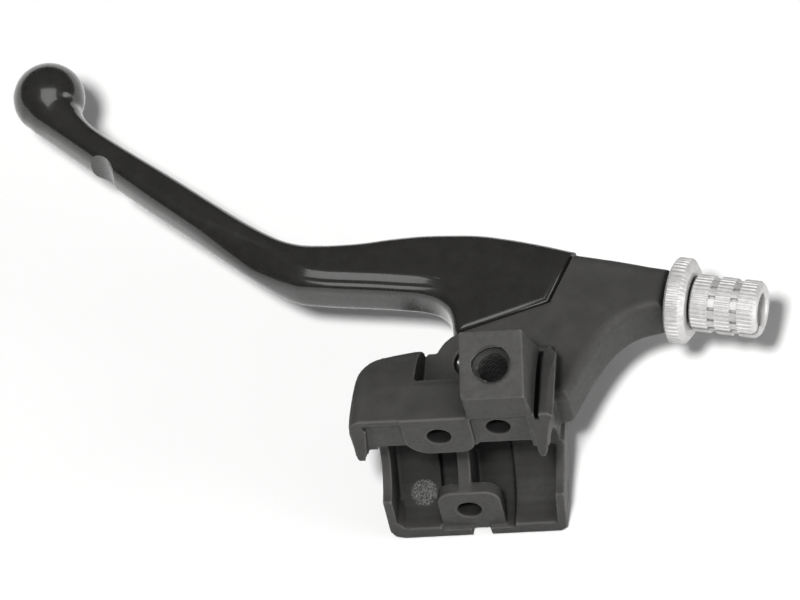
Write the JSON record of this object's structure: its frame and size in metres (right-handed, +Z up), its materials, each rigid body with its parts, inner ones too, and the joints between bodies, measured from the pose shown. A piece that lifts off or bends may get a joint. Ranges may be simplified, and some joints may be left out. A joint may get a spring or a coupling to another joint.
{
  "type": "clutch lever assembly",
  "caption": "Ball-end clutch lever pivoting on a die-cast perch with a half-shell handlebar clamp, mirror boss and knurled cable adjuster.",
  "frame": {"origin": "on the handlebar's axis, in the middle of the clamp housing", "axes": "+X along the handlebar towards the middle of the motorcycle, +Y forward away from the rider, +Z up, square to the plane that the lever swings in"},
  "size_m": [0.2159, 0.1428, 0.0734],
  "materials": {
    "cast_black": "matt black over fine die-cast grain",
    "gloss_black": "gloss black lacquer",
    "zinc_steel": "bright zinc plate",
    "bronze": "plain sintered bronze",
    "nylon": "smooth nylon",
    "bright_alloy": "bright silver, knurled"
  },
  "bodies": {
    "bracket": {"bracket_housing": "cast_black", "pivot_bolt": "zinc_steel", "pivot_washer": "zinc_steel", "pivot_locknut": "zinc_steel", "locknut_nylon_ring": "nylon"},
    "lever": {"clutch_lever": "gloss_black", "pivot_bush": "bronze"},
    "lock_ring": {"adjuster_lock_ring": "bright_alloy"},
    "adjuster": {"adjuster_barrel": "bright_alloy"}
  },
  "joints": [
    {"name": "lever_pivot", "type": "hinge", "parent": "bracket", "child": "lever", "pos_m": [0.0033, 0.0284, 0.0065], "axis": [0, 0, 1], "range_deg": [0, 28]},
    {"name": "adjuster_turn", "type": "hinge", "parent": "bracket", "child": "adjuster", "pos_m": [0.0568, 0.0512, 0.0068], "axis": [0.981, -0.1942, 0], "continuous": true},
    {"name": "lock_ring_turn", "type": "hinge", "parent": "bracket", "child": "lock_ring", "pos_m": [0.0568, 0.0512, 0.0068], "axis": [0.981, -0.1942, 0], "continuous": true}
  ]
}
